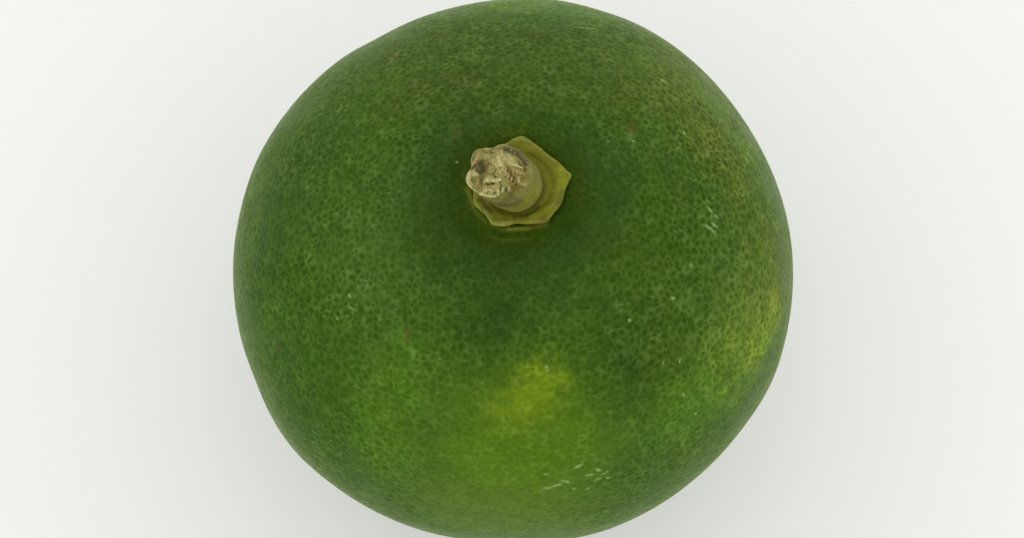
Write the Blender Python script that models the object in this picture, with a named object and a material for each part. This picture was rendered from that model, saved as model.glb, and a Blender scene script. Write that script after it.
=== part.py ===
"""A fresh lime standing on its blossom end, with its calyx and the cut stub of its stem.

Units are metres and +Z is up. The origin is the middle of the small flat spot that the fruit rests
on, and the Z axis runs from there through the stem end. +X is the side of the longest sepal.
"""

import math

import bmesh
import bpy

MM = 0.001
CLEARANCE = 0.3 * MM  # left between pieces that touch, because the solids may not overlap

# Fruit. Angles along it are in degrees from the stem end.
FRUIT_RADIUS = 28.0 * MM
TOP_REACH = 27.5 * MM  # from the widest section up to the stem end
LOW_REACH = 28.8 * MM  # from the widest section down, before the blunt tip is added
TIP_DROP = 1.3 * MM  # how much further the blunt tip of the blossom end reaches
TIP_RADIUS = 8.0 * MM
FLAT_EDGE = 169.5  # where the flat spot under the tip begins
BASIN_DEPTH = 0.9 * MM  # the shallow hollow that the calyx sits in
BASIN_RADIUS = 7.0 * MM
COLLAR_RISE = 0.35 * MM  # the low ring of rind round the calyx
COLLAR_RADIUS = 4.6 * MM
COLLAR_WIDTH = 0.7 * MM
# Waves round the girth, which is never quite round: how many, how high, and where one crests
GIRTH_WAVES = (
    (1, 0.80 * MM, 127),
    (2, 0.40 * MM, 10),
    (3, 0.15 * MM, -45),
    (4, 0.12 * MM, -22),
    (5, 0.15 * MM, 0),
)
FRUIT_SEGMENTS = 64
# Ring number and its angle. Rings lie closer together at the two ends.
FRUIT_RINGS = ((0, 180), (3, FLAT_EDGE), (9, 152), (38, 17), (52, 0))

# Calyx. Direction in degrees, reach, half-width in degrees, bluntness of each sepal, and how far
# its edge stands off the rind
SEPALS = (
    (7, 5.10 * MM, 24, 1.2, 0.15 * MM),
    (86, 4.45 * MM, 26, 1.8, 0.05 * MM),
    (160, 4.40 * MM, 26, 1.8, 0.10 * MM),
    (243, 4.45 * MM, 26, 1.8, 0.05 * MM),
    (318, 4.55 * MM, 28, 2.6, 0.40 * MM),
)
CALYX_RADIUS = 3.75 * MM  # between the sepals
SOCKET_RADIUS = 2.9 * MM  # the round seat of the stem, which the sepals leave round
# Half of the calyx's cross-section, lower middle to upper middle: radius between the sepals,
# and height above the rind
CALYX_PROFILE = (
    (0.00 * MM, 0.00 * MM),
    (1.50 * MM, 0.00 * MM),
    (2.80 * MM, 0.00 * MM),
    (3.20 * MM, 0.00 * MM),
    (3.50 * MM, 0.02 * MM),
    (3.68 * MM, 0.14 * MM),
    (3.75 * MM, 0.34 * MM),
    (3.71 * MM, 0.54 * MM),
    (3.58 * MM, 0.70 * MM),
    (3.40 * MM, 0.80 * MM),
    (3.20 * MM, 0.84 * MM),
    (3.05 * MM, 0.80 * MM),
    (2.95 * MM, 0.66 * MM),
    (2.80 * MM, 0.60 * MM),
    (1.50 * MM, 0.60 * MM),
    (0.00 * MM, 0.60 * MM),
)
SEAT_HEIGHT = CALYX_PROFILE[-1][1]
CALYX_SEGMENTS = 72

# Stem stub, cut across and torn on one side
STEM_RADIUS = 2.50 * MM
STEM_TIP_RADIUS = 2.30 * MM
STEM_BULGE = 0.05  # how much thicker it is halfway up, as a share of the radius
STEM_LENGTH = 4.8 * MM
STEM_FOOT = (-0.20 * MM, -0.30 * MM)
STEM_LEAN = (-2.00 * MM, -0.50 * MM)
STEM_LEAN_CURVE = 1.25  # 1 leans straight from the foot, more bends over higher up
STEM_CORNERS = 6
STEM_CORNER_RISE = 0.08 * MM
STEM_CORNER_TURN = 13  # direction of the first corner, in degrees
TEAR_DROP = 1.4 * MM  # how far the torn side lies below the cut
TEAR_START = 0.1  # where it begins, in radii from the middle of the stub towards +X
RIM_WAVES = 5
RIM_WAVE_RISE = 0.10 * MM
STEM_SEGMENTS = 32
# Ring by ring from the middle of the foot to the middle of the cut: share of the radius, share
# of the length
STEM_PROFILE = (
    (0.00, 0.00),
    (0.50, 0.00),
    (0.90, 0.00),
    (0.98, 0.03),
    (1.00, 0.08),
    (1.00, 0.18),
    (1.00, 0.29),
    (1.00, 0.40),
    (1.00, 0.51),
    (1.00, 0.62),
    (1.00, 0.73),
    (1.00, 0.83),
    (1.00, 0.91),
    (0.99, 0.96),
    (0.94, 0.99),
    (0.85, 1.00),
    (0.68, 1.00),
    (0.50, 1.00),
    (0.25, 1.00),
    (0.00, 1.00),
)

# Surface colours: red, green and blue, then roughness
RIND_LOOK = ((0.058, 0.120, 0.016), 0.42)
CALYX_LOOK = ((0.180, 0.195, 0.035), 0.60)
STEM_LOOK = ((0.230, 0.215, 0.105), 0.75)


def clear_scene():
    for found in list(bpy.data.objects):
        bpy.data.objects.remove(found)


def plain_material(name, look):
    colour, roughness = look
    material = bpy.data.materials.new(name)
    material.use_nodes = True
    shader = material.node_tree.nodes["Principled BSDF"]
    shader.inputs["Base Color"].default_value = (*colour, 1.0)
    shader.inputs["Roughness"].default_value = roughness
    shader.inputs["Metallic"].default_value = 0.0
    return material


def between(value, low, high):
    """How far value lies from low to high, from 0 to 1, eased at both ends."""
    share = max(0.0, min(1.0, (value - low) / (high - low)))
    return share * share * (3 - 2 * share)


def hump(distance, reach, power=2.0):
    """A rounded hump: 1 at no distance, falling away past reach."""
    return math.exp(-(abs(distance / reach) ** power))


def lower_drop(angle):
    """How far the lower half of the fruit lies below its widest section."""
    tip = TIP_DROP * hump(FRUIT_RADIUS * math.sin(angle), TIP_RADIUS)
    return tip - LOW_REACH * math.cos(angle)


WIDEST_Z = lower_drop(math.radians(FLAT_EDGE))


def rind_top(radius):
    """Height of the rind near the stem, at a distance from the axis."""
    dome = TOP_REACH * math.sqrt(1 - (radius / FRUIT_RADIUS) ** 2)
    basin = BASIN_DEPTH * hump(radius, BASIN_RADIUS)
    collar = COLLAR_RISE * hump(radius - COLLAR_RADIUS, COLLAR_WIDTH)
    return WIDEST_Z + dome - basin + collar


def ring_angle(ring):
    """Angle from the stem end of a ring of the fruit, in radians."""
    for (first, start), (last, end) in zip(FRUIT_RINGS, FRUIT_RINGS[1:]):
        if ring <= last:
            share = (ring - first) / (last - first)
            return math.radians(start + (end - start) * share)
    raise ValueError(f"the fruit has no ring {ring}")


def on_fruit(ring, azimuth):
    angle = ring_angle(ring)
    radius = FRUIT_RADIUS * math.sin(angle)
    if angle < math.pi / 2:
        height = rind_top(radius)
    else:
        height = max(0.0, WIDEST_Z - lower_drop(angle))
    waves = sum(
        rise * math.cos(count * (azimuth - math.radians(crest)))
        for count, rise, crest in GIRTH_WAVES
    )
    girth = radius + waves * math.sin(angle) ** 2
    return (girth * math.cos(azimuth), girth * math.sin(azimuth), height)


def sepal_reach(azimuth):
    """Radius of the calyx's outline, and how far its edge stands off the rind there."""
    reach = CALYX_RADIUS
    lift = 0.0
    for direction, length, half_width, bluntness, stand_off in SEPALS:
        turned = (math.degrees(azimuth) - direction + 180) % 360 - 180
        share = hump(turned, half_width, bluntness)
        reach += (length - CALYX_RADIUS) * share
        lift += stand_off * share
    return reach, lift


def on_calyx(ring, azimuth):
    profile_radius, height = CALYX_PROFILE[ring]
    reach, lift = sepal_reach(azimuth)
    outward = between(profile_radius, SOCKET_RADIUS - CLEARANCE, CALYX_RADIUS)
    radius = profile_radius * (1 + (reach / CALYX_RADIUS - 1) * outward)
    z = rind_top(radius) + CLEARANCE + lift * outward + height
    return (radius * math.cos(azimuth), radius * math.sin(azimuth), z)


def on_stem(ring, azimuth):
    radius_share, along = STEM_PROFILE[ring]
    radius = STEM_RADIUS + (STEM_TIP_RADIUS - STEM_RADIUS) * along
    radius *= 1 + STEM_BULGE * math.sin(math.pi * along)
    corner = math.cos(STEM_CORNERS * (azimuth - math.radians(STEM_CORNER_TURN)))
    radius += STEM_CORNER_RISE * corner * along
    across = radius * radius_share * math.cos(azimuth)
    depth = radius * radius_share * math.sin(azimuth)
    lean = along**STEM_LEAN_CURVE
    foot = rind_top(0.0) + SEAT_HEIGHT + 2 * CLEARANCE
    tear = TEAR_DROP * between(across / STEM_TIP_RADIUS, TEAR_START, 1.0)
    rim = RIM_WAVE_RISE * math.cos(RIM_WAVES * azimuth) * radius_share
    return (
        STEM_FOOT[0] + STEM_LEAN[0] * lean + across,
        STEM_FOOT[1] + STEM_LEAN[1] * lean + depth,
        foot + STEM_LENGTH * along + (rim - tear) * along**3,
    )


# Name, segments, rings, the function that places a ring, and surface colour of each piece
PIECES = (
    ("fruit", FRUIT_SEGMENTS, FRUIT_RINGS[-1][0], on_fruit, RIND_LOOK),
    ("calyx", CALYX_SEGMENTS, len(CALYX_PROFILE) - 1, on_calyx, CALYX_LOOK),
    ("stem", STEM_SEGMENTS, len(STEM_PROFILE) - 1, on_stem, STEM_LOOK),
)


def ringed_ball(name, segments, rings, place, look):
    """A ball of rings whose vertices move to place(ring, azimuth). Ring 0 is the lower pole."""
    shape = bmesh.new()
    bmesh.ops.create_uvsphere(shape, u_segments=segments, v_segments=rings, radius=1.0)
    for vertex in shape.verts:
        latitude = math.asin(max(-1.0, min(1.0, vertex.co.z)))
        ring = round((latitude / math.pi + 0.5) * rings)
        vertex.co = place(ring, math.atan2(vertex.co.y, vertex.co.x))
    mesh = bpy.data.meshes.new(name)
    shape.to_mesh(mesh)
    shape.free()
    mesh.materials.append(plain_material(f"{name}_surface", look))
    mesh.shade_smooth()
    return bpy.data.objects.new(name, mesh)


def build():
    clear_scene()
    lime = bpy.data.collections.new("lime")
    bpy.context.scene.collection.children.link(lime)
    for piece in PIECES:
        lime.objects.link(ringed_ball(*piece))


build()
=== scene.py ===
"""The looks of a fresh lime: pitted rind, calyx and cut stem stub, standing in a pale light tent.

Lengths are in metres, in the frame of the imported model, with the fruit standing on Z = 0. Marks are
placed by the pixels of the photograph that show them, and colours are red, green and blue.
"""

import math

import bmesh
import bpy
import numpy as np
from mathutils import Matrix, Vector
from mathutils.bvhtree import BVHTree


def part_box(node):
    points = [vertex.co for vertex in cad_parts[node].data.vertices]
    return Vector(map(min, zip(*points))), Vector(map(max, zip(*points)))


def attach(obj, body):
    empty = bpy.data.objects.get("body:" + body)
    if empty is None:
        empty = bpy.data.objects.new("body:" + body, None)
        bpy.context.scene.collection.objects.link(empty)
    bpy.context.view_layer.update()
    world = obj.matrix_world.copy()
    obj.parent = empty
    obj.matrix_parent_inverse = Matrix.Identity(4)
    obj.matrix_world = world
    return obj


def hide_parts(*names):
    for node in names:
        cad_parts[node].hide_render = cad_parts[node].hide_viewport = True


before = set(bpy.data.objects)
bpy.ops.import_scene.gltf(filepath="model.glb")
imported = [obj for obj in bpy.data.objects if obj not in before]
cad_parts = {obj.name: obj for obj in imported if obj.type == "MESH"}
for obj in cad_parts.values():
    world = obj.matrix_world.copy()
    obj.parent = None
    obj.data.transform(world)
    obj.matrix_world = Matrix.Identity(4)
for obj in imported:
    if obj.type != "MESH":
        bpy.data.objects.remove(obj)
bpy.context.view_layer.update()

MM = 0.001
MERGE = 0.0005 * MM  # vertices of a solid that lie this close are one

# Camera of the photograph
IMAGE_WIDTH = 1024
IMAGE_HEIGHT = 538
LENS_MM = 80.0
SENSOR_MM = 36.0
CAMERA_ELEVATION = 71.9
CAMERA_DISTANCE = 232 * MM
CAMERA_AIM = (-0.54 * MM, 0.81 * MM, 29.2 * MM)
STEM_PIXEL = 0.088 * MM  # size of a pixel of the photograph at the stem

# Floor and light tent: how bright the tent is at the horizon and overhead
FLOOR_RADIUS = 1.5
FLOOR_TONES = ((0.87, 0.88, 0.86), (0.89, 0.89, 0.88))
HORIZON_LIGHT = 2.0
ZENITH_LIGHT = 0.58
LIGHT_COLOUR = (1.0, 1.0, 0.985, 1.0)

# Rind
GLAND_SEED = 7
GLAND_COUNT = 19000
GLAND_CROWDING = 0.12  # how much closer the glands lie at the two ends
GLAND_JITTER = 0.42  # share of the spacing
GLAND_EVENINGS = 1  # times that the glands are evened out
GLAND_STRENGTHS = (0.55, 1.0)  # the weakest and the strongest gland
CORNER_GLOWS = (-0.9, 0.7)  # of the corners between the glands, where less than 0 is no glow
GLAND_DEPTH = 0.04 * MM
PIT_START = (6 * MM, 8 * MM)  # radii between which the pits of the glands grow to their depth
LUMP_DEPTH = 0.14 * MM
LUMP_SIZE = 5 * MM
LUMP_SEED = 9
RELIEF_START = (0.3 * MM, 4 * MM)  # heights between which it grows, to leave the flat spot flat
SWELL = 0.08 * MM  # given back for what rounding the facets takes
GOLDEN_ANGLE = math.pi * (3 - math.sqrt(5))
FINE_END = 6.5 * MM  # the rind has finer faces this near the stem
FINE_CUTS = 4
SCAR_PLACE = (0.4 * MM, -0.3 * MM)
SCAR_RADIUS = 1.3 * MM
SCAR_DEPTH = 0.25 * MM
FRUIT_CENTRE = (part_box("fruit")[0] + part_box("fruit")[1]) / 2
STEM_END = Vector((0, 0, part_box("fruit")[1].z))

# Where the rind stands out of its solid: direction and width in degrees, and rise
RIND_BULGES = (
    (38, 14, 0.10 * MM),
    (72, 7, -0.12 * MM),
    (106, 8, 0.07 * MM),
    (123, 6, -0.14 * MM),
    (157, 6, 0.08 * MM),
    (202, 6, -0.17 * MM),
    (218, 8, 0.18 * MM),
    (232, 22, 0.20 * MM),
    (250, 8, 0.08 * MM),
    (291, 10, 0.16 * MM),
    (312, 26, 0.22 * MM),
    (338, 9, 0.20 * MM),
)

# The solids keep gaps that the real pieces don't, so these two are sunk
CALYX_SINK = 0.33 * MM
STEM_SINK = 0.63 * MM

# Stub of the stem
STEM_FOOT = (-0.20 * MM, -0.30 * MM)
STEM_LEAN = (-2.00 * MM, -0.50 * MM)  # of its top from its foot
STEM_RADIUS = 2.4 * MM
STEM_SHIFT = (-0.08 * MM, 0.33 * MM)  # how far its top is moved
STEM_TRIM = 0.12 * MM  # how far its top is lowered, to leave room for the torn ridges

# Waves of the stub's and the calyx's surface: size, height and seed
STEM_WAVES = ((0.7 * MM, 0.05 * MM, 31), (0.25 * MM, 0.02 * MM, 32))
CALYX_WAVES = ((0.8 * MM, 0.05 * MM, 21), (0.3 * MM, 0.015 * MM, 22))

# Calyx
GROOVE_WIDTH = 0.4 * MM  # of the painted shade in the groove round the foot of the stub
STAIN_DIRECTION = -66  # of the rusty edge, in degrees
STAIN_WIDTH = 12

# Where the pieces stand out of the solids: direction and width in degrees, and rise
STEM_BULGES = (
    (-158, 30, 0.50 * MM),
    (180, 18, -0.52 * MM),
    (-108, 20, 0.20 * MM),
    (70, 20, 0.36 * MM),
    (88, 14, -0.28 * MM),
    (16, 30, 0.36 * MM),
    (-44, 16, -0.22 * MM),
)
CALYX_BULGES = (
    (84, 9, 0.24 * MM),
    (-15, 30, -0.30 * MM),
    (7, 10, -0.14 * MM),
    (10, 4, 0.26 * MM),
    (-40, 12, -0.15 * MM),
    (-58, 8, 0.17 * MM),
    (-93, 11, -0.28 * MM),
    (-121, 6, 0.20 * MM),
    (-156, 14, 0.50 * MM),
)

# Middle of the yellow patch: from pixel to pixel, and half-width
YELLOW_CORE = ((552, 376), (513, 413), 4.5 * MM)
# Zones of the rind: middle pixel, reach, width of the fading border, and how ragged it is
YELLOW_AREA = ((529, 440), 12 * MM, 9 * MM, 4 * MM)
LOW_RIM = ((505, 505), 13 * MM, 9 * MM, 3 * MM)
SHADED_TOP = ((506, 208), 14 * MM, 9 * MM, 4 * MM)
PALE_SIDE = ((750, 325), 10 * MM, 8 * MM, 3 * MM)
PALE_CORNER = ((690, 85), 13 * MM, 10 * MM, 4 * MM)
SOFT_AREA = ((515, 450), 14 * MM, 8 * MM, 3 * MM)
STRONG_RIGHT = ((705, 260), 12 * MM, 9 * MM, 3 * MM)
STRONG_UPPER = ((710, 140), 9 * MM, 7 * MM, 2 * MM)
STRONG_LEFT = ((320, 280), 7 * MM, 6 * MM, 2 * MM)
CALM_LEFT = ((350, 385), 8 * MM, 6 * MM, 2 * MM)
CALM_RIGHT = ((670, 410), 8 * MM, 6 * MM, 2 * MM)
CALM_MIDDLE = ((612, 215), 7 * MM, 5 * MM, 2 * MM)
# How much more or less the glands stand out from the net between them in a zone
CONTRAST_CHANGES = (
    (SHADED_TOP, -0.5),
    (SOFT_AREA, -0.45),
    (STRONG_RIGHT, 0.2),
    (STRONG_UPPER, 0.4),
    (STRONG_LEFT, 0.15),
    (CALM_LEFT, -0.2),
    (CALM_RIGHT, -0.2),
    (CALM_MIDDLE, -0.2),
)
# Tints of the green, and a painted sheen along the top of the outline: from pixel to pixel, half-width,
# and factors for red, green and blue
TINTS = (
    ((610, 345), (614, 375), 7 * MM, (0.74, 0.82, 0.90)),
    ((376, 215), (376, 290), 7 * MM, (1.13, 1.14, 1.60)),
    ((384, 365), (394, 470), 6 * MM, (1.34, 1.36, 1.15)),
    ((762, 190), (735, 390), 7 * MM, (1.36, 1.20, 1.08)),
    ((768, 325), (735, 385), 5 * MM, (1.36, 1.38, 1.05)),
    ((748, 300), (695, 390), 6 * MM, (1.28, 1.29, 1.15)),
    ((650, 425), (708, 408), 6 * MM, (1.22, 1.28, 1.10)),
    # Painted sheen: brightens the green along the top of the outline
    ((480, 6), (585, 14), 6 * MM, (1.46, 1.40, 1.15)),
    ((400, 65), (600, 85), 12 * MM, (1.12, 0.98, 1.06)),
    ((665, 65), (720, 165), 5 * MM, (1.08, 1.02, 1.00)),
    ((684, 70), (752, 170), 3 * MM, (1.18, 1.20, 1.35)),
    ((742, 135), (766, 190), 4 * MM, (1.30, 1.18, 1.10)),
    ((772, 200), (779, 300), 5 * MM, (1.22, 1.03, 1.00)),
    ((768, 315), (762, 345), 4 * MM, (1.26, 1.20, 1.05)),
    ((690, 140), (740, 185), 6 * MM, (1.20, 1.06, 1.00)),
    ((290, 335), (330, 400), 13 * MM, (0.86, 0.95, 0.70)),
    ((480, 335), (490, 365), 5 * MM, (0.74, 0.82, 0.90)),
    ((505, 325), (525, 330), 4 * MM, (0.85, 0.90, 0.90)),
    ((310, 140), (260, 290), 6 * MM, (0.85, 0.86, 0.80)),
    ((655, 335), (668, 395), 6 * MM, (0.90, 0.87, 0.80)),
    ((490, 298), (580, 298), 4 * MM, (1.10, 1.10, 1.00)),
    ((436, 345), (428, 430), 5 * MM, (1.07, 1.10, 1.00)),
    ((580, 330), (582, 390), 4 * MM, (1.10, 1.12, 1.00)),
    ((420, 98), (465, 94), 5 * MM, (1.00, 0.92, 1.00)),
    ((665, 170), (665, 265), 6 * MM, (0.88, 0.89, 0.90)),
)
# Brown spots: pixel and radius
BROWN_SPOTS = (
    ((633, 128), 0.60 * MM),
    ((395, 57), 0.40 * MM),
    ((408, 334), 0.45 * MM),
    ((406.5, 339), 0.40 * MM),
    ((282, 349), 0.35 * MM),
)
SCRATCH_WIDTH = 0.21 * MM
# Pale scratches and specks: from pixel to pixel, and half-width as a share of SCRATCH_WIDTH
SCRATCHES = (
    ((543, 488), (550, 488.4), 1.2),
    ((551, 487), (562, 483.6), 1.4),
    ((562, 481), (571, 482.2), 1.2),
    ((574.5, 468.5), (582.5, 464.2), 1.3),
    ((585, 476), (593, 474), 1.1),
    ((595.5, 469), (601, 471.2), 1.3),
    ((603, 473.8), (607.3, 471.5), 1.1),
    ((595, 480.6), (601, 478), 1.2),
    ((605.5, 478), (612.5, 477.3), 0.9),
    ((545, 474), (547.5, 474.4), 1.2),
    ((586.5, 489.5), (590, 487.5), 1.1),
    ((705, 225), (711, 229), 1.2),
    ((711, 223), (717, 227), 1.2),
    ((711, 229), (715.5, 233), 1.2),
    ((707, 207), (713.5, 213), 1.2),
    ((690.5, 265), (692.5, 266), 1.3),
    ((660, 79), (666.5, 82.5), 1.6),
    ((575, 27), (600, 29.6), 1.0),
    ((777, 218), (777.8, 232), 1.0),
    ((456, 162), (457.2, 162), 0.9),
    ((629, 320), (630, 320), 1.0),
    ((672, 298.5), (674, 298.5), 1.2),
    ((349, 294), (350.5, 298), 1.1),
    ((348, 306), (354, 310), 0.9),
    ((336.5, 317), (337.5, 319), 0.8),
    ((346, 316), (349, 316), 0.7),
    ((546, 366), (548.5, 371), 1.1),
    ((714, 214), (719, 219), 0.7),
    ((695, 414), (696.5, 413), 1.0),
    ((683, 393.5), (684, 396), 0.9),
    ((663.5, 361), (663.5, 364), 0.75),
    ((680, 359), (679.5, 363), 0.75),
    ((684, 132), (685, 134), 1.0),
    ((632.5, 141), (635, 141.5), 0.75),
    ((608, 140.5), (608, 142), 0.7),
    ((573, 488.5), (575, 489), 0.9),
)

# Colours of the rind: the pale net between the glands, and the glands
COOL_NET = (0.056, 0.118, 0.016)
WARM_NET = (0.072, 0.128, 0.014)
PALE_NET = (0.120, 0.175, 0.030)
GLOWING_NET = (0.125, 0.190, 0.050)
RIM_NET = (0.100, 0.163, 0.020)
YELLOW_NET = (0.102, 0.185, 0.009)
CORE_NET = (0.166, 0.240, 0.012)
GLOWING_YELLOW = (0.230, 0.320, 0.070)
COOL_GLAND = (0.021, 0.058, 0.004)
WARM_GLAND = (0.023, 0.058, 0.001)
PALE_GLAND = (0.036, 0.067, 0.002)
RIM_GLAND = (0.058, 0.114, 0.007)
YELLOW_GLAND = (0.044, 0.103, 0.001)
CORE_GLAND = (0.074, 0.142, 0.001)
SPOT_BROWN = (0.088, 0.072, 0.014)
SCRATCH_PALE = (0.210, 0.310, 0.100)
DARK_CORK = (0.15, 0.10, 0.04)
PALE_CORK = (0.30, 0.24, 0.11)

# Factors for red, green and blue where the rind, the calyx or the stub is darker or lighter
SHADED_RIND = (0.60, 0.62, 0.85)
STEM_END_RIND = (0.88, 0.82, 0.30)
MOTTLED_LEAF = (0.62, 0.62, 0.42)
GRAINY_LEAF = (0.62, 0.55, 0.45)
MOTTLED_WOOD = (0.66, 0.58, 0.46)
GRAINY_WOOD = (0.42, 0.34, 0.26)
DARK_FLECK = (0.60, 0.50, 0.38)
PALE_FLECK = (1.35, 1.38, 1.50)

# Colours of the strokes that mark the stub, the calyx and the rind next to it
PALE = (0.50, 0.50, 0.22)
CREAM = (0.46, 0.44, 0.19)
WOOD = (0.305, 0.290, 0.098)
TAN = (0.20, 0.155, 0.040)
PINK = (0.45, 0.32, 0.15)
RUST = (0.115, 0.062, 0.014)
UMBER = (0.070, 0.056, 0.010)
MOSS = (0.100, 0.105, 0.016)
SOOT = (0.060, 0.052, 0.021)
GREY_BARK = (0.084, 0.092, 0.021)
OLIVE_BARK = (0.160, 0.163, 0.034)
GREEN_BARK = (0.150, 0.172, 0.014)
LEAF = (0.160, 0.170, 0.010)
BRIGHT_LEAF = (0.225, 0.255, 0.009)
PALE_LEAF = (0.230, 0.250, 0.050)
DEEP_LEAF = (0.110, 0.115, 0.006)
SHADED_LEAF = (0.055, 0.066, 0.001)
COLLAR_LEAF = (0.075, 0.100, 0.008)
COLLAR_EDGE = (0.140, 0.152, 0.024)
BROWN_RIND = (0.060, 0.072, 0.022)

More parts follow.
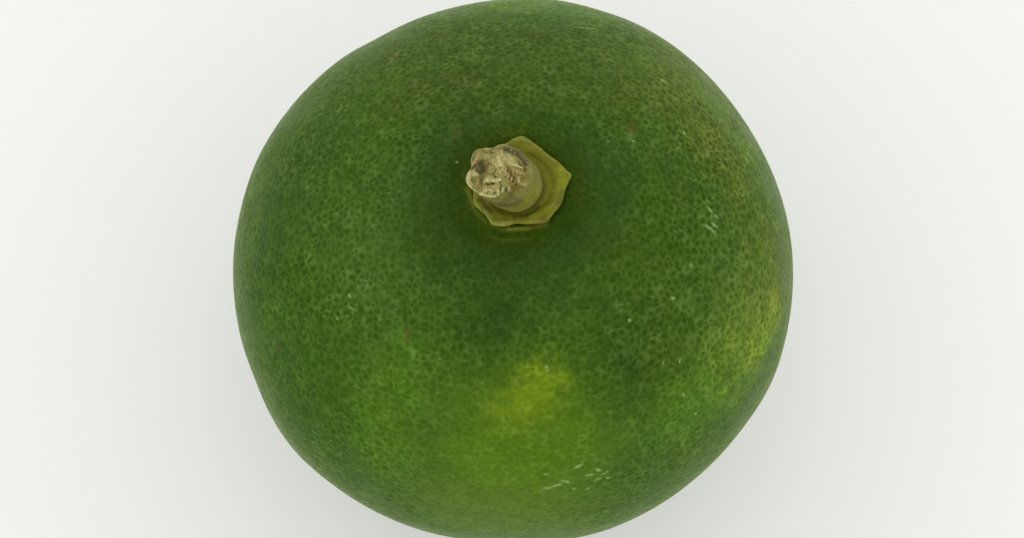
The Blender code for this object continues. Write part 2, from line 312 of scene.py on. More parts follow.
# Strokes: colour, half-width in pixels, rise in millimetres, strength, and the pixels that each passes
STEM_STROKES = (
    (TAN, 5.0, 0.00, 0.5, ((506, 173), (513, 188), (517, 188))),
    (OLIVE_BARK, 5.0, 0.00, 0.8, ((524, 165), (527, 178), (523, 190))),
    (OLIVE_BARK, 4.0, 0.00, 0.6, ((528, 166), (530, 175))),
    (GREEN_BARK, 9.0, 0.00, 0.9, ((536, 188), (531, 198), (522, 205))),
    (OLIVE_BARK, 6.0, 0.00, 0.8, ((530, 163), (537, 173), (538, 182))),
    (GREY_BARK, 6.5, 0.00, 0.9, ((490, 202), (500, 204.5), (512, 205), (518, 203))),
    (MOSS, 4.5, -0.03, 0.6, ((508, 193), (517, 189), (523, 178))),
    (WOOD, 3.5, 0.00, 0.3, ((539.5, 184), (537, 193))),
    (CREAM, 6.0, 0.06, 0.9, ((497, 160), (499, 165))),
    (CREAM, 4.0, 0.04, 0.7, ((506, 158), (510, 162))),
    (WOOD, 3.5, 0.03, 0.6, ((475.5, 178), (470.5, 178))),
    (RUST, 1.8, 0.00, 0.5, ((483.5, 159.5), (488, 162.5), (488.5, 168))),
    (UMBER, 4.4, -0.30, 0.9, ((480.5, 162.5), (482.5, 166), (483, 170))),
    (SOOT, 2.6, -0.12, 0.7, ((477, 168), (479, 173))),
    (UMBER, 2.4, -0.14, 0.8, ((481.5, 178), (481, 183))),
    (TAN, 3.6, -0.04, 0.6, ((476, 185.5), (480, 187))),
    (SOOT, 1.3, -0.12, 0.95, ((472, 168), (475.5, 164.5))),
    (PALE, 1.8, 0.04, 0.95, ((468.3, 183), (468.2, 177), (470.5, 173.5), (477, 174))),
    (MOSS, 1.0, -0.06, 0.8, ((471.5, 178.5), (474.5, 177.8), (479, 177.3))),
    (MOSS, 2.0, -0.08, 0.8, ((472.3, 180.5), (474.5, 181.3))),
    (
        PALE, 2.0, 0.12, 0.85,
        ((470, 185), (473, 188.5), (477, 191.5), (482, 194), (488, 195.5), (495, 196)),
    ),
    (PALE, 1.4, 0.12, 0.95, ((497.6, 189.5), (498, 194.5))),
    (GREY_BARK, 1.5, 0.00, 0.8, ((473, 160), (475.5, 153.5))),
    # Painted highlight along the pink ridge at the upper left
    (PINK, 1.2, 0.05, 0.95, ((473.2, 164), (475.4, 160.8), (477.8, 154.5))),
    (TAN, 1.5, 0.00, 0.8, ((480, 151), (484, 150.5))),
    (UMBER, 1.2, -0.08, 0.8, ((491.6, 149), (500.4, 148))),
    (UMBER, 2.0, -0.06, 0.5, ((492.5, 157.3), (495, 157.5))),
    (MOSS, 1.0, -0.05, 0.6, ((484, 153), (488.5, 151.5), (493, 152.5))),
    (TAN, 1.4, -0.04, 0.7, ((491, 163), (487, 170), (488.5, 174))),
    (MOSS, 1.0, -0.06, 0.7, ((496, 169), (493, 174), (496, 177))),
    (PALE, 1.0, 0.07, 0.9, ((500.5, 152), (505.5, 158), (510, 164))),
    (MOSS, 0.9, -0.05, 0.7, ((503.5, 153), (507.5, 159.5))),
    (PALE, 1.1, 0.08, 0.9, ((507.5, 154), (512.5, 160), (513.3, 162.5))),
    (UMBER, 1.0, -0.12, 0.9, ((499.8, 167.9), (500.2, 167.9))),
    (PALE, 2.0, 0.12, 0.8, ((485.5, 181.5), (489, 179.2), (494, 180), (500, 179.5))),
    (UMBER, 0.9, -0.20, 0.95, ((485.5, 184), (493, 183.4), (501.3, 181.9))),
    (UMBER, 1.2, -0.10, 0.8, ((486, 175.8), (486.4, 175.8))),
    (UMBER, 1.0, -0.08, 0.7, ((494.8, 176.2), (495.2, 176.2))),
    (CREAM, 3.0, 0.00, 0.5, ((485, 190), (489, 189.5), (492, 188.5))),
    (UMBER, 0.8, -0.05, 0.5, ((487.8, 185), (488, 188.5))),
    (UMBER, 1.0, -0.12, 0.9, ((494, 192.6), (494.3, 192.6))),
    (MOSS, 1.0, -0.10, 0.8, ((487, 192.9), (487.3, 192.9))),
    (TAN, 8.0, -0.04, 0.85, ((511, 172), (512, 184))),
    (TAN, 5.0, 0.00, 0.7, ((521, 172), (519, 186))),
    (RUST, 2.0, -0.10, 0.9, ((511.4, 173), (511.4, 177.5))),
    (RUST, 1.2, -0.08, 0.9, ((509.8, 167), (508.5, 171.5))),
    (RUST, 1.4, -0.08, 0.9, ((513.8, 177), (512.5, 181.5))),
    (UMBER, 1.2, -0.10, 0.9, ((501.5, 184), (500.2, 190))),
    (UMBER, 1.6, -0.12, 0.9, ((505.9, 190.7), (507.5, 188))),
    (UMBER, 2.5, -0.10, 0.9, ((510.8, 193.5), (511.8, 194.8))),
    (MOSS, 3.0, -0.03, 0.5, ((514, 189.5), (518, 186.5))),
    (UMBER, 2.0, -0.04, 0.7, ((518.8, 161.5), (520.5, 165))),
    (CREAM, 1.2, 0.05, 0.7, ((516, 170.5), (516.8, 172.5))),
    (CREAM, 1.2, 0.05, 0.6, ((520, 173), (522, 173.5))),
    (CREAM, 1.5, 0.05, 0.6, ((518.3, 177.5), (518.8, 181))),
    (UMBER, 1.3, -0.08, 0.8, ((516, 184.6), (516.6, 184.6))),
    (RUST, 1.5, -0.06, 0.8, ((524.5, 167), (525, 171))),
    (PALE, 1.2, 0.10, 0.9, ((508.6, 164.9), (516.9, 165.4), (521.5, 168))),
    (PALE, 0.9, 0.06, 0.8, ((505.3, 169), (505.6, 175))),
    (PINK, 1.0, 0.06, 0.8, ((513.2, 168.5), (513, 173))),
    (PALE, 0.9, 0.07, 0.85, ((512.3, 177.5), (511.3, 180.5))),
    (PALE, 0.9, 0.07, 0.85, ((509.4, 186.5), (509, 190))),
    (PALE, 1.0, 0.07, 0.85, ((503, 188), (501.5, 191.5))),
    (CREAM, 0.9, 0.05, 0.7, ((508.5, 173), (507.5, 177))),
    (CREAM, 1.6, 0.02, 0.35, ((521, 183.5), (525.5, 184.5))),
    (TAN, 3.0, 0.00, 0.6, ((522.5, 163.5), (523.5, 164.5))),
    (SOOT, 3.6, -0.08, 0.95, ((505, 149), (511, 150.5), (518, 154.5), (523, 159.5), (525.5, 163.5))),
    (SOOT, 3.6, -0.05, 0.70, ((515, 150), (521.5, 154), (526.5, 160))),
    (OLIVE_BARK, 1.0, 0.03, 0.6, ((499, 146.5), (504, 146), (513, 147.5), (521, 151.8), (528, 159))),
    (PALE, 0.7, 0.05, 0.8, ((511.3, 150), (512, 150))),
    (PALE, 0.7, 0.05, 0.8, ((515.3, 152.8), (516, 153))),
    (GREY_BARK, 3.6, 0.00, 0.5, ((498, 199), (506, 199.5), (515, 198.5))),
    (SOOT, 1.6, -0.03, 0.4, ((513.5, 199.2), (516, 199.5))),
    (SOOT, 1.4, -0.03, 0.35, ((506, 198.5), (508.5, 198.8))),
)
CALYX_STROKES = (
    (BRIGHT_LEAF, 5.0, 0.00, 0.85, ((560, 170), (563, 178), (561, 187))),
    (BRIGHT_LEAF, 4.0, 0.00, 0.6, ((546, 209), (537, 216))),
    (BRIGHT_LEAF, 4.0, 0.00, 0.4, ((548, 178), (551, 184), (549, 198))),
    # Painted highlight along the upper edge of the calyx
    (PALE_LEAF, 1.8, 0.03, 0.7, ((512, 140), (520, 138.5), (530, 142))),
    (PALE_LEAF, 1.4, 0.03, 0.3, ((543, 154), (555, 162))),
    (PALE_LEAF, 1.2, 0.05, 0.6, ((567, 172), (569.5, 176), (567, 182))),
    (DEEP_LEAF, 2.8, 0.00, 0.8, ((563, 191), (559, 203))),
    (PALE_LEAF, 1.2, 0.06, 0.5, ((555, 201), (550, 208))),
    (PALE_LEAF, 1.6, 0.06, 0.9, ((487, 216), (491, 221), (497, 224), (503, 224.5))),
    (PALE_LEAF, 1.4, 0.08, 0.6, ((475, 201), (478, 206), (482, 211))),
    (PALE_LEAF, 2.6, 0.03, 0.45, ((486, 211), (492, 218))),
    # Painted shadow of the stub's overhang on the calyx at the lower left
    (UMBER, 3.2, -0.10, 0.85, ((481, 199), (486.5, 206), (491, 210))),
    (DEEP_LEAF, 3.0, -0.03, 0.3, ((496, 216), (505, 219))),
    (PALE_LEAF, 1.6, 0.04, 0.7, ((530, 221.5), (535, 221.5), (541, 220.5))),
    # Painted shade under the stub at the bottom
    (DEEP_LEAF, 3.2, -0.03, 0.9, ((515, 220), (521, 220.5), (526, 217.5))),
    (SHADED_LEAF, 2.6, -0.05, 0.8, ((515, 217), (523, 216), (531, 212.5), (538, 207))),
    (PALE_LEAF, 1.5, 0.04, 0.7, ((497, 221.5), (506, 222.5), (512, 221.5))),
)
RIND_STROKES = (
    (COLLAR_LEAF, 5.0, 0.10, 0.95, ((469, 190), (472, 198), (476, 207), (482, 215), (488, 220))),
    (COLLAR_LEAF, 4.0, 0.10, 0.85, ((494, 224), (502, 227.5), (511, 228.5), (524, 228), (545, 223.5))),
    (COLLAR_EDGE, 2.0, 0.04, 0.6, ((469.5, 192), (472, 199), (475.5, 206.5))),
    (COLLAR_EDGE, 1.8, 0.05, 0.9, ((508, 229), (516, 229), (524, 228.6), (530, 227.6))),
    (COLLAR_EDGE, 2.0, 0.00, 0.5, ((538, 225.5), (541, 224.5))),
    (RUST, 1.8, 0.00, 0.8, ((529.5, 227), (532, 226.6), (535.5, 226.6))),
    (COLLAR_LEAF, 1.8, 0.06, 0.25, ((492, 236), (502, 239), (514, 240), (526, 238.5))),
    (BROWN_RIND, 2.0, 0.00, 0.5, ((451, 127), (456, 134), (461, 142))),
    (BROWN_RIND, 1.5, 0.00, 0.5, ((457, 128), (462, 136))),
)


def smoothstep(value, low, high):
    share = np.clip((value - low) / (high - low), 0, 1)
    return share * share * (3 - 2 * share)


def hump(distance, width):
    return np.exp(-((distance / width) ** 2))


def wavy(points, size, seed, waves=24):
    """Smooth noise from -1 to 1 at points, with bumps about size across."""
    draw = np.random.default_rng(seed)
    directions = draw.normal(size=(waves, 3))
    directions /= np.linalg.norm(directions, axis=1)[:, None]
    lengths = size * draw.uniform(1.4, 2.8, waves)
    phases = draw.uniform(0, 2 * math.pi, waves)
    total = np.zeros(len(points))
    for direction, length, phase in zip(directions, lengths, phases):
        total += np.cos(points @ direction * 2 * math.pi / length + phase)
    return np.clip(total / math.sqrt(waves), -1.6, 1.6) / 1.6


def bulged(offsets, bulges):
    """How far points stand out, by their direction. Bulges: direction, width in degrees and rise."""
    azimuth = np.degrees(np.arctan2(offsets[:, 1], offsets[:, 0]))
    total = np.zeros(len(offsets))
    for direction, width, rise in bulges:
        total += rise * hump((azimuth - direction + 180) % 360 - 180, width)
    return total


def positions(mesh):
    flat = np.empty(len(mesh.vertices) * 3, np.float32)
    mesh.vertices.foreach_get("co", flat)
    return flat.reshape(-1, 3).astype(float)


def outward(mesh):
    flat = np.empty(len(mesh.vertices) * 3, np.float32)
    mesh.vertex_normals.foreach_get("vector", flat)
    return flat.reshape(-1, 3).astype(float)


def move_to(mesh, points):
    mesh.vertices.foreach_set("co", np.asarray(points, np.float32).ravel())
    mesh.update()


def paint(mesh, name, values):
    """Keeps one number for each vertex, for the material to read."""
    layer = mesh.attributes.new(name, "FLOAT", "POINT")
    layer.data.foreach_set("value", np.asarray(values, np.float32))


def paint_colour(mesh, name, colours):
    layer = mesh.attributes.new(name, "FLOAT_COLOR", "POINT")
    opaque = np.hstack([colours, np.ones((len(colours), 1))])
    layer.data.foreach_set("color", np.asarray(opaque, np.float32).ravel())


def smooth_copy(node, levels):
    """A mesh of a CAD node with its facets rounded away."""
    shape = bmesh.new()
    shape.from_mesh(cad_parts[node].data)
    bmesh.ops.remove_doubles(shape, verts=shape.verts, dist=MERGE)
    bmesh.ops.join_triangles(
        shape, faces=shape.faces, angle_face_threshold=math.pi, angle_shape_threshold=math.pi
    )
    cage_mesh = bpy.data.meshes.new(f"{node}_cage")
    shape.to_mesh(cage_mesh)
    shape.free()
    cage = bpy.data.objects.new(f"{node}_cage", cage_mesh)
    bpy.context.scene.collection.objects.link(cage)
    rounding = cage.modifiers.new("rounding", "SUBSURF")
    rounding.levels = levels
    rounding.render_levels = levels
    evaluated = cage.evaluated_get(bpy.context.evaluated_depsgraph_get())
    mesh = bpy.data.meshes.new_from_object(evaluated)
    bpy.data.objects.remove(cage)
    mesh.materials.clear()
    return mesh


def surface_tree(mesh):
    shape = bmesh.new()
    shape.from_mesh(mesh)
    tree = BVHTree.FromBMesh(shape)
    shape.free()
    return tree


def add_piece(name, mesh, material, node):
    """A finished piece that stands for a CAD node."""
    mesh.name = name
    mesh.materials.append(material)
    mesh.shade_smooth()
    piece = bpy.data.objects.new(name, mesh)
    bpy.context.scene.collection.objects.link(piece)
    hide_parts(node)
    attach(piece, "root")
    return piece


def add_camera():
    camera = bpy.data.objects.new("camera", bpy.data.cameras.new("camera"))
    camera.data.lens = LENS_MM
    camera.data.sensor_width = SENSOR_MM
    camera.data.clip_start = 5 * MM
    camera.data.clip_end = 50
    lift = math.radians(CAMERA_ELEVATION)
    back = Vector((0, -math.cos(lift), math.sin(lift)))
    camera.location = Vector(CAMERA_AIM) + back * CAMERA_DISTANCE
    camera.rotation_euler = back.to_track_quat("Z", "Y").to_euler()
    bpy.context.scene.collection.objects.link(camera)
    bpy.context.scene.camera = camera
    bpy.context.view_layer.update()


def seen_on(tree, pixel):
    """The point of a surface that a pixel of the photograph shows."""
    across = (pixel[0] - IMAGE_WIDTH / 2) / IMAGE_WIDTH * SENSOR_MM / LENS_MM
    up = (IMAGE_HEIGHT / 2 - pixel[1]) / IMAGE_WIDTH * SENSOR_MM / LENS_MM
    place = bpy.context.scene.camera.matrix_world
    line = place.to_3x3() @ Vector((across, up, -1))
    found = tree.ray_cast(place.translation, line.normalized())[0]
    if found is None:
        raise ValueError(f"pixel {pixel} misses the surface")
    return found


def stroke_share(points, corners, width):
    """How much of a stroke each point gets: 1 on the line through its corners, fading over width."""
    nearest = np.full(len(points), np.inf)
    for start, end in zip(corners, corners[1:]):
        along = np.array(end - start)
        first = np.array(start)
        share = np.clip((points - first) @ along / (along @ along), 0, 1)
        nearest = np.minimum(nearest, np.linalg.norm(points - first - share[:, None] * along, axis=1))
    return np.exp(-((nearest / width) ** 3))


def draw_strokes(mesh, strokes, colours, height):
    """Lays strokes over the colours and the height of a mesh. Returns how much they cover."""
    points = positions(mesh)
    tree = surface_tree(mesh)
    bare = np.ones(len(points))
    for colour, half_width, rise, strength, line in strokes:
        corners = [seen_on(tree, pixel) for pixel in line]
        share = stroke_share(points, corners, half_width * STEM_PIXEL)
        colours += (np.array(colour) - colours) * (share * strength)[:, None]
        height += rise * MM * share
        bare *= 1 - share * strength
    return 1 - bare


class Finish:
    """A material. Each method adds one node to it, and takes numbers or other nodes' outputs."""

    def __init__(self, name):
        self.material = bpy.data.materials.new(name)
        self.material.use_nodes = True
        self.nodes = self.material.node_tree.nodes
        self.shader = self.nodes["Principled BSDF"]
        self.place = self.nodes.new("ShaderNodeTexCoord").outputs["Object"]

    def feed(self, socket, value):
        if isinstance(value, bpy.types.NodeSocket):
            self.material.node_tree.links.new(value, socket)
        else:
            socket.default_value = value

    def use(self, socket, value):
        self.feed(self.shader.inputs[socket], value)

    def painted(self, name, output="Fac"):
        node = self.nodes.new("ShaderNodeAttribute")
        node.attribute_name = name
        return node.outputs[output]

    def math(self, operation, *values):
        node = self.nodes.new("ShaderNodeMath")
        node.operation = operation
        for socket, value in zip(node.inputs, values):
            self.feed(socket, value)
        return node.outputs[0]

    def noise(self, size, detail=2.0, roughness=0.5):
        node = self.nodes.new("ShaderNodeTexNoise")
        self.feed(node.inputs["Vector"], self.place)
        node.inputs["Scale"].default_value = 1 / size
        node.inputs["Detail"].default_value = detail
        node.inputs["Roughness"].default_value = roughness
        return node.outputs["Fac"]

    def ranged(self, value, low, high, start=0.0, end=1.0):
        node = self.nodes.new("ShaderNodeMapRange")
        node.interpolation_type = "SMOOTHSTEP"
        self.feed(node.inputs["Value"], value)
        node.inputs["From Min"].default_value = low
        node.inputs["From Max"].default_value = high
        node.inputs["To Min"].default_value = start
        node.inputs["To Max"].default_value = end
        return node.outputs["Result"]

    def mix(self, share, first, second, blend="MIX"):
        node = self.nodes.new("ShaderNodeMix")
        node.data_type = "RGBA"
        node.blend_type = blend
        self.feed(node.inputs[0], share)
        for socket, value in ((node.inputs[6], first), (node.inputs[7], second)):
            self.feed(socket, (*value, 1.0) if isinstance(value, tuple) else value)
        return node.outputs[2]

    def around(self, point, reach, edge, ragged=0.0, ragged_size=1 * MM):
        """1 near a point and 0 past reach, over a border edge wide that noise moves by ragged."""
        node = self.nodes.new("ShaderNodeVectorMath")
        node.operation = "DISTANCE"
        self.feed(node.inputs[0], self.place)
        node.inputs[1].default_value = point
        distance = node.outputs["Value"]
        if ragged:
            shift = self.math("MULTIPLY", self.noise(ragged_size), 2 * ragged)
            distance = self.math("ADD", distance, self.math("SUBTRACT", shift, ragged))
        return self.ranged(distance, reach - edge, reach, 1.0, 0.0)

    def streak(self, start, end, half_width, ragged=0.0, ragged_size=1 * MM):
        """1 along the line from start to end, and 0 past half_width from it."""
        along = end - start
        local = self.nodes.new("ShaderNodeMapping")
        local.vector_type = "TEXTURE"
        self.feed(local.inputs["Vector"], self.place)
        local.inputs["Location"].default_value = (start + end) / 2
        local.inputs["Rotation"].default_value = along.to_track_quat("X", "Z").to_euler()
        reach = along.length / 2 + half_width
        local.inputs["Scale"].default_value = (reach, half_width, half_width)
        node = self.nodes.new("ShaderNodeVectorMath")
        node.operation = "LENGTH"
        self.feed(node.inputs[0], local.outputs[0])
        distance = node.outputs["Value"]
        if ragged:
            shift = self.ranged(self.noise(ragged_size), 0.3, 0.7, -ragged, ragged)
            distance = self.math("ADD", distance, shift)
        return self.ranged(distance, 0.2, 1.0, 1.0, 0.0)

    def bump(self, height, distance, strength, base=None):
        node = self.nodes.new("ShaderNodeBump")
        node.inputs["Strength"].default_value = strength
        node.inputs["Distance"].default_value = distance
        self.feed(node.inputs["Height"], height)
        if base is not None:
            self.feed(node.inputs["Normal"], base)
        return node.outputs["Normal"]


def rind_material(rind_tree):
    """The looks of the rind, with its zones and marks where the finished rind shows them."""
    look = Finish("rind")
    gland = look.painted("gland")
    grain = look.noise(0.28 * MM)
    blotch = look.noise(1.1 * MM)
    patchy = look.noise(3.5 * MM, 3.0)
    broad = look.noise(9 * MM)

    def zone(pixel, reach, edge, ragged):
        return look.around(seen_on(rind_tree, pixel), reach, edge, ragged, ragged * 1.5)

    def band(start, end, half_width, ragged, ragged_size):
        ends = (seen_on(rind_tree, start), seen_on(rind_tree, end))
        return look.streak(*ends, half_width, ragged, ragged_size)

    # Where the dark glands lie, and how dark they are
    rough = look.math("ADD", gland, look.ranged(grain, 0.3, 0.7, -0.22, 0.22))
    rough = look.math("ADD", rough, look.ranged(blotch, 0.3, 0.7, -0.26, 0.26))
    contrast = look.ranged(patchy, 0.30, 0.62, 0.44, 0.76)
    for area, change in CONTRAST_CHANGES:
        changed = look.math("ADD", 1.0, look.math("MULTIPLY", zone(*area), change))
        contrast = look.math("MULTIPLY", contrast, changed)
    dark = look.math("MULTIPLY", look.ranged(rough, -0.35, 0.80), contrast)
    even = look.math("MULTIPLY", look.math("SUBTRACT", 1.0, contrast), 0.56)
    dark = look.math("ADD", dark, even)
    glow = look.math("MULTIPLY", look.ranged(rough, -0.10, -0.75), contrast)

    # Green
    pale = look.math("MAXIMUM", zone(*PALE_SIDE), zone(*PALE_CORNER))
    warm = look.ranged(broad, 0.35, 0.65, 0.2, 0.8)
    warm = look.math("MAXIMUM", warm, look.math("MULTIPLY", pale, 0.7))
    net = look.mix(warm, COOL_NET, WARM_NET)
    net = look.mix(look.math("MULTIPLY", pale, 0.6), net, PALE_NET)
    net = look.mix(look.math("MULTIPLY", glow, 0.7), net, GLOWING_NET)
    deep = look.mix(warm, COOL_GLAND, WARM_GLAND)
    deep = look.mix(look.math("MULTIPLY", pale, 0.6), deep, PALE_GLAND)
    green = look.mix(dark, net, deep)
    for start, end, half_width, factors in TINTS:
        green = look.mix(band(start, end, half_width, 0.2, 4 * MM), green, factors, "MULTIPLY")
    shaded = look.math("MULTIPLY", zone(*SHADED_TOP), 0.9)
    green = look.mix(shaded, green, SHADED_RIND, "MULTIPLY")
    halo = look.around(STEM_END, 7.4 * MM, 2.6 * MM, 1.2 * MM, 2 * MM)
    green = look.mix(halo, green, STEM_END_RIND, "MULTIPLY")
    rim = look.mix(dark, RIM_NET, RIM_GLAND)
    green = look.mix(look.math("MULTIPLY", zone(*LOW_RIM), 0.7), green, rim)

    # Yellow patch
    core = band(*YELLOW_CORE, 0.15, 1.5 * MM)
    yellow = look.mix(dark, YELLOW_NET, YELLOW_GLAND)
    yellow = look.mix(core, yellow, look.mix(dark, CORE_NET, CORE_GLAND))
    yellow = look.mix(look.math("MULTIPLY", glow, 0.6), yellow, GLOWING_YELLOW)
    share = look.math("MAXIMUM", look.math("MULTIPLY", zone(*YELLOW_AREA), 0.75), core)
    colour = look.mix(share, green, yellow)

    # Clouding, marks, the rind next to the calyx, and the blossom scar
    cloudy = look.ranged(look.noise(1.3 * MM), 0.3, 0.7, 0.93, 1.06)
    colour = look.mix(1.0, colour, cloudy, "MULTIPLY")
    for pixel, radius in BROWN_SPOTS:
        spot = look.around(seen_on(rind_tree, pixel), radius, radius * 0.8, radius * 0.9, radius)
        colour = look.mix(look.math("MULTIPLY", spot, 0.7), colour, SPOT_BROWN)
    marks = 0.0
    for start, end, half_width in SCRATCHES:
        scratch = band(start, end, half_width * SCRATCH_WIDTH, 0.20, 0.3 * MM)
        marks = look.math("MAXIMUM", marks, scratch)
    broken = look.ranged(grain, 0.34, 0.54, 0.25, 0.85)
    colour = look.mix(look.math("MULTIPLY", marks, broken), colour, SCRATCH_PALE)
    colour = look.mix(look.painted("covered"), colour, look.painted("tint", "Color"))
    scar = look.around((*SCAR_PLACE, 0.0), SCAR_RADIUS * 1.1, 0.5 * MM, 0.3 * MM, 0.6 * MM)
    cork = look.mix(look.ranged(grain, 0.35, 0.65), DARK_CORK, PALE_CORK)
    colour = look.mix(scar, colour, cork)
    look.use("Base Color", colour)
    look.use("Roughness", look.ranged(patchy, 0.3, 0.7, 0.34, 0.48))
    look.use("IOR", 1.09)
    look.use("Sheen Weight", 0.21)
    look.use("Sheen Roughness", 0.26)
    look.use("Sheen Tint", (0.83, 1.0, 0.38, 1.0))

    pits = look.math("SUBTRACT", 1.0, look.ranged(gland, 0.0, 1.0))
    relief = look.bump(pits, 0.04 * MM, 0.7)
    look.use("Normal", look.bump(grain, 0.010 * MM, 0.6, relief))
    return look.material


def gland_cells():
    """A ball with a cell for each oil gland: above 0 inside glands, below 0 at pale corners between."""
    draw = np.random.default_rng(GLAND_SEED)
    spacing = math.sqrt(4 * math.pi / GLAND_COUNT)
    order = np.arange(GLAND_COUNT) + 0.5
    height = 1 - 2 * order / GLAND_COUNT
    height += GLAND_CROWDING * height * (1 - height**2)
    girth = np.sqrt(1 - height**2)
    turn = order * GOLDEN_ANGLE
    directions = np.stack([girth * np.cos(turn), girth * np.sin(turn), height], axis=1)
    directions += draw.normal(0, GLAND_JITTER * spacing, directions.shape)

    shape = bmesh.new()
    mark = shape.verts.layers.float.new("gland")
    for direction in directions:
        shape.verts.new(Vector(direction).normalized())
    bmesh.ops.convex_hull(shape, input=shape.verts)
    for _ in range(GLAND_EVENINGS):
        bmesh.ops.smooth_vert(
            shape, verts=shape.verts, factor=0.5, use_axis_x=True, use_axis_y=True, use_axis_z=True
        )
        for vertex in shape.verts:
            vertex.co.normalize()
    bmesh.ops.delete(shape, geom=shape.edges[:], context="EDGES_FACES")
    bmesh.ops.convex_hull(shape, input=shape.verts)
    for vertex, strength in zip(shape.verts, draw.uniform(*GLAND_STRENGTHS, len(shape.verts))):
        vertex[mark] = strength
    across = shape.edges[:]
    corners = bmesh.ops.poke(shape, faces=shape.faces[:])["verts"]
    for corner, glow in zip(corners, draw.uniform(*CORNER_GLOWS, len(corners))):
        corner[mark] = -max(0.0, glow)
    bmesh.ops.rotate_edges(shape, edges=across)
    near = math.cos(FINE_END / FRUIT_CENTRE.z)
    fine = [edge for edge in shape.edges if min(end.co.z for end in edge.verts) > near]
    bmesh.ops.subdivide_edges(shape, edges=fine, cuts=FINE_CUTS, use_grid_fill=True)
    bmesh.ops.triangulate(shape, faces=shape.faces)
    mesh = bpy.data.meshes.new("gland_cells")
    shape.to_mesh(mesh)
    shape.free()
    return mesh


def add_rind(support):
    """The ball of glands, laid on the surface of the fruit and given its relief and marks."""
    mesh = gland_cells()
    gland = np.empty(len(mesh.vertices), np.float32)
    mesh.attributes["gland"].data.foreach_get("value", gland)
    places = []
    facing = []
    for direction in positions(mesh):
        place, normal = support.ray_cast(FRUIT_CENTRE, Vector(direction))[:2]
        places.append(place)
        facing.append(normal)
    places = np.array(places)
    radius = np.hypot(places[:, 0], places[:, 1])
    on_top = smoothstep(places[:, 2], FRUIT_CENTRE.z, FRUIT_CENTRE.z * 1.1)
    off_floor = smoothstep(places[:, 2], *RELIEF_START)
    lumps = 0.5 + 0.5 * wavy(places, LUMP_SIZE, LUMP_SEED)
    rise = (SWELL - LUMP_DEPTH * lumps) * off_floor
    rise -= GLAND_DEPTH * np.clip(gland, 0, 1) * smoothstep(radius, *PIT_START)
    sideways = radius / np.linalg.norm(places - np.array(FRUIT_CENTRE), axis=1)
    rise += bulged(places, RIND_BULGES) * smoothstep(sideways, 0.45, 0.9)
    from_scar = np.hypot(places[:, 0] - SCAR_PLACE[0], places[:, 1] - SCAR_PLACE[1])
    rise -= SCAR_DEPTH * hump(from_scar, SCAR_RADIUS) * (1 - on_top)
    move_to(mesh, places)
    colours = np.full(places.shape, COLLAR_LEAF)
    paint(mesh, "covered", draw_strokes(mesh, RIND_STROKES, colours, rise))
    paint_colour(mesh, "tint", colours)
    move_to(mesh, places + np.array(facing) * rise[:, None])
    return add_piece("rind", mesh, rind_material(surface_tree(mesh)), "fruit")


def calyx_material():
    look = Finish("calyx")
    mottle = look.noise(0.8 * MM, 4.0)
    grain = look.noise(0.18 * MM, 3.0)
    colour = look.painted("tint", "Color")
    colour = look.mix(look.ranged(mottle, 0.35, 0.65, 0.0, 0.45), colour, MOTTLED_LEAF, "MULTIPLY")
    colour = look.mix(look.ranged(grain, 0.38, 0.62, 0.0, 0.3), colour, GRAINY_LEAF, "MULTIPLY")
    look.use("Base Color", colour)
    look.use("Roughness", 0.55)
    look.use("Specular IOR Level", 0.15)
    relief = look.bump(mottle, 0.10 * MM, 0.7)
    look.use("Normal", look.bump(grain, 0.03 * MM, 0.7, relief))
    return look.material


def add_calyx():
    mesh = smooth_copy("calyx", 2)
    points = positions(mesh)
    radius = np.hypot(points[:, 0], points[:, 1])
    wider = 1 + bulged(points, CALYX_BULGES) * smoothstep(radius, 2.8 * MM, 4 * MM) / radius
    points[:, :2] *= wider[:, None]
    points[:, 2] -= CALYX_SINK
    move_to(mesh, points)
    facing = outward(mesh)
    radius = np.hypot(points[:, 0], points[:, 1])
    azimuth = np.degrees(np.arctan2(points[:, 1], points[:, 0]))
    colours = np.full(points.shape, LEAF)
    height = sum(wavy(points, size, seed) * rise for size, rise, seed in CALYX_WAVES)
    height *= smoothstep(radius, 2.4 * MM, 3.2 * MM)
    draw_strokes(mesh, CALYX_STROKES, colours, height)
    # Painted shade: the calyx is darkened in the groove round the foot of the stub, where the stub
    # shades it
    from_stem = np.hypot(points[:, 0] - STEM_FOOT[0], points[:, 1] - STEM_FOOT[1])
    groove = 1 - smoothstep(from_stem, STEM_RADIUS, STEM_RADIUS + GROOVE_WIDTH)
    colours += (np.array(SHADED_LEAF) - colours) * (0.6 * groove)[:, None]
    stained = hump(azimuth - STAIN_DIRECTION, STAIN_WIDTH) * smoothstep(radius, 3.9 * MM, 4.3 * MM)
    colours += (np.array(RUST) - colours) * (0.5 * stained)[:, None]
    move_to(mesh, points + facing * height[:, None])
    paint_colour(mesh, "tint", colours)
    return add_piece("calyx", mesh, calyx_material(), "calyx")


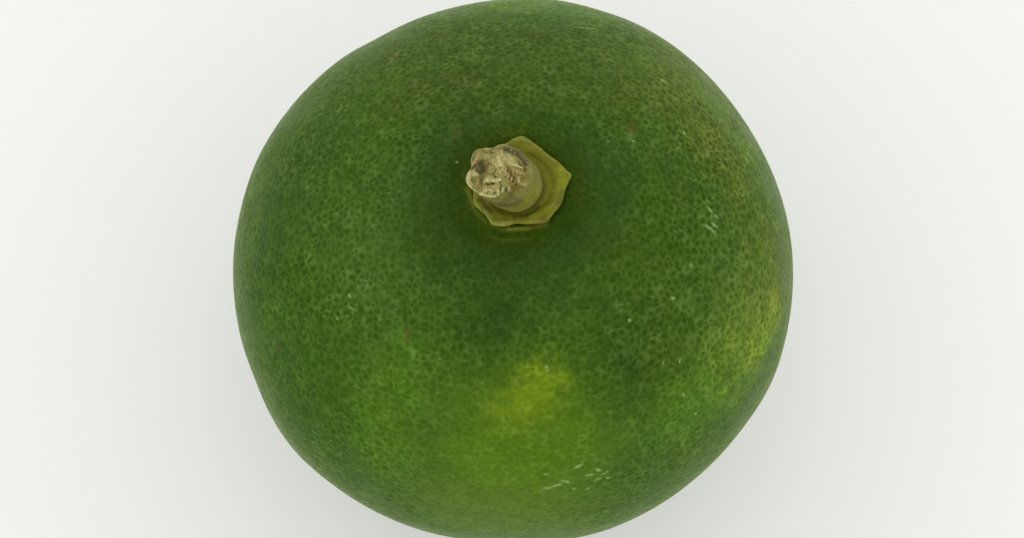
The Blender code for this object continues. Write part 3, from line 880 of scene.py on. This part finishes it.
def stem_material():
    look = Finish("stem")
    cut = look.painted("cut")
    mottle = look.noise(0.7 * MM, 4.0, 0.6)
    grain = look.noise(0.13 * MM, 3.0, 0.6)
    colour = look.painted("tint", "Color")
    colour = look.mix(look.ranged(mottle, 0.36, 0.62, 0.0, 0.4), colour, MOTTLED_WOOD, "MULTIPLY")
    dark = look.ranged(look.noise(0.28 * MM, 3.0, 0.6), 0.46, 0.64, 0.0, 0.7)
    colour = look.mix(look.math("MULTIPLY", dark, cut), colour, DARK_FLECK, "MULTIPLY")
    pale = look.ranged(look.noise(0.22 * MM, 3.0, 0.6), 0.52, 0.66, 0.0, 0.6)
    colour = look.mix(look.math("MULTIPLY", pale, cut), colour, PALE_FLECK, "MULTIPLY")
    colour = look.mix(look.ranged(grain, 0.50, 0.68, 0.0, 0.6), colour, GRAINY_WOOD, "MULTIPLY")
    look.use("Base Color", colour)
    look.use("Roughness", look.ranged(cut, 0.0, 1.0, 0.55, 0.85))
    look.use("Specular IOR Level", 0.15)
    relief = look.bump(mottle, 0.10 * MM, 0.7)
    look.use("Normal", look.bump(grain, 0.05 * MM, 0.8, relief))
    return look.material


def add_stem():
    mesh = smooth_copy("stem", 3)
    points = positions(mesh)
    low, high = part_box("stem")
    share = (points[:, 2] - low.z) / (high.z - low.z)
    across = points[:, :2] - np.array(STEM_FOOT) - np.array(STEM_LEAN) * share[:, None]
    swollen = bulged(across, STEM_BULGES) * smoothstep(share, 0.0, 0.5) / STEM_RADIUS
    points[:, :2] += across * swollen[:, None] + np.array(STEM_SHIFT) * share[:, None]
    points[:, 2] -= STEM_SINK * (1 - share) + STEM_TRIM * share
    move_to(mesh, points)
    facing = outward(mesh)
    cut = smoothstep(facing[:, 2], 0.45, 0.75) * smoothstep(share, 0.5, 0.65)
    colours = np.array(OLIVE_BARK) + (np.array(WOOD) - np.array(OLIVE_BARK)) * cut[:, None]
    height = sum(wavy(points, size, seed) * rise for size, rise, seed in STEM_WAVES)
    height *= smoothstep(share, 0.0, 0.1)
    draw_strokes(mesh, STEM_STROKES, colours, height)
    move_to(mesh, points + facing * height[:, None])
    paint(mesh, "cut", cut)
    paint_colour(mesh, "tint", colours)
    return add_piece("stem", mesh, stem_material(), "stem")


def add_floor():
    mesh = bpy.data.meshes.new("floor")
    shape = bmesh.new()
    bmesh.ops.create_circle(shape, cap_ends=True, segments=96, radius=FLOOR_RADIUS)
    shape.to_mesh(mesh)
    shape.free()
    look = Finish("floor")
    look.use("Base Color", look.mix(look.noise(40 * MM), *FLOOR_TONES))
    look.use("Roughness", 0.9)
    look.use("Specular IOR Level", 0.1)
    mesh.materials.append(look.material)
    floor = bpy.data.objects.new("floor", mesh)
    bpy.context.scene.collection.objects.link(floor)


def add_light_tent():
    """Even light from all round, brighter from the sides than from overhead."""
    world = bpy.data.worlds.new("light_tent")
    world.use_nodes = True
    nodes = world.node_tree.nodes
    links = world.node_tree.links
    direction = nodes.new("ShaderNodeTexCoord")
    split = nodes.new("ShaderNodeSeparateXYZ")
    links.new(direction.outputs["Generated"], split.inputs[0])
    rise = nodes.new("ShaderNodeMapRange")
    links.new(split.outputs["Z"], rise.inputs["Value"])
    rise.inputs["From Min"].default_value = 0.1
    rise.inputs["From Max"].default_value = 1.0
    rise.inputs["To Min"].default_value = HORIZON_LIGHT
    rise.inputs["To Max"].default_value = ZENITH_LIGHT
    links.new(rise.outputs["Result"], nodes["Background"].inputs["Strength"])
    nodes["Background"].inputs["Color"].default_value = LIGHT_COLOUR
    bpy.context.scene.world = world


add_camera()
add_floor()
add_light_tent()
rind_support = surface_tree(smooth_copy("fruit", 2))
add_rind(rind_support)
add_calyx()
add_stem()
bpy.context.scene.view_settings.view_transform = "Standard"
